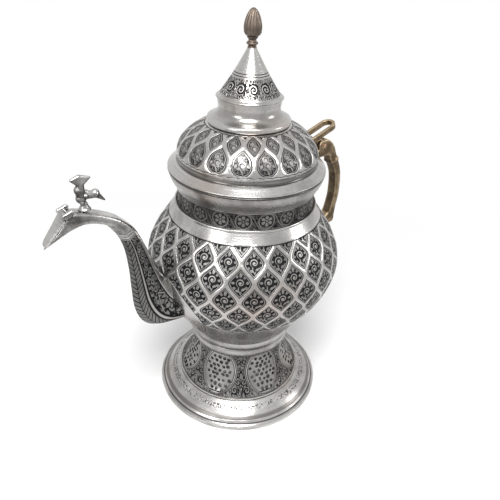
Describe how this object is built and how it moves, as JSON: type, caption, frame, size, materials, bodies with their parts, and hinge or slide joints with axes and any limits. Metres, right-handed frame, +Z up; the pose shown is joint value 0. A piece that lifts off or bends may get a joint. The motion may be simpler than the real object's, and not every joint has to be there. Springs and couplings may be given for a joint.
{
  "type": "dallah coffee pot",
  "caption": "Tinned copper coffee pot with pierced pedestal foot, round belly, swan-neck spout with hinged flap, brass handle and hinged domed lid.",
  "frame": {"origin": "centre of the foot, in the plane that it stands on", "axes": "+Z up along the pot's axis, the spout points along -X and the handle along +X"},
  "size_m": [0.4145, 0.247, 0.5087],
  "materials": {
    "tinned_copper": "polished tin over copper",
    "engraved_copper": "chased and pierced tinned copper, blackened in the ground",
    "cast_brass": "sand cast, rubbed",
    "dark_bronze": "dark patina",
    "rivet_copper": "hammered",
    "pin_steel": "drawn wire"
  },
  "bodies": {
    "pot": {"foot_rim": "tinned_copper", "foot_bead": "tinned_copper", "foot_skirt": "engraved_copper", "foot_collar": "tinned_copper", "belly": "tinned_copper", "neck_bead": "tinned_copper", "neck": "engraved_copper", "mouth_wire": "tinned_copper", "spout_stem": "engraved_copper", "spout_beak": "tinned_copper", "bird": "tinned_copper", "flap_pin": "pin_steel", "handle": "cast_brass", "handle_rivets": "rivet_copper", "lid_pin": "rivet_copper"},
    "lid": {"lid_flange": "tinned_copper", "lid_dome": "tinned_copper", "lid_plug": "tinned_copper", "crown_moulding": "tinned_copper", "cone": "tinned_copper", "knop_collar": "dark_bronze", "bud": "dark_bronze", "finial_stud": "rivet_copper", "thumb_ring": "cast_brass", "strap_rivets": "rivet_copper"},
    "flap": {"spout_flap": "tinned_copper"}
  },
  "joints": [
    {"name": "lid_hinge", "type": "hinge", "parent": "pot", "child": "lid", "pos_m": [0.122, 0, 0.34], "axis": [0, 1, 0], "range_deg": [0, 65]},
    {"name": "flap_hinge", "type": "hinge", "parent": "pot", "child": "flap", "pos_m": [-0.22549, 0, 0.33296], "axis": [0, 1, 0], "range_deg": [0, 100]}
  ]
}
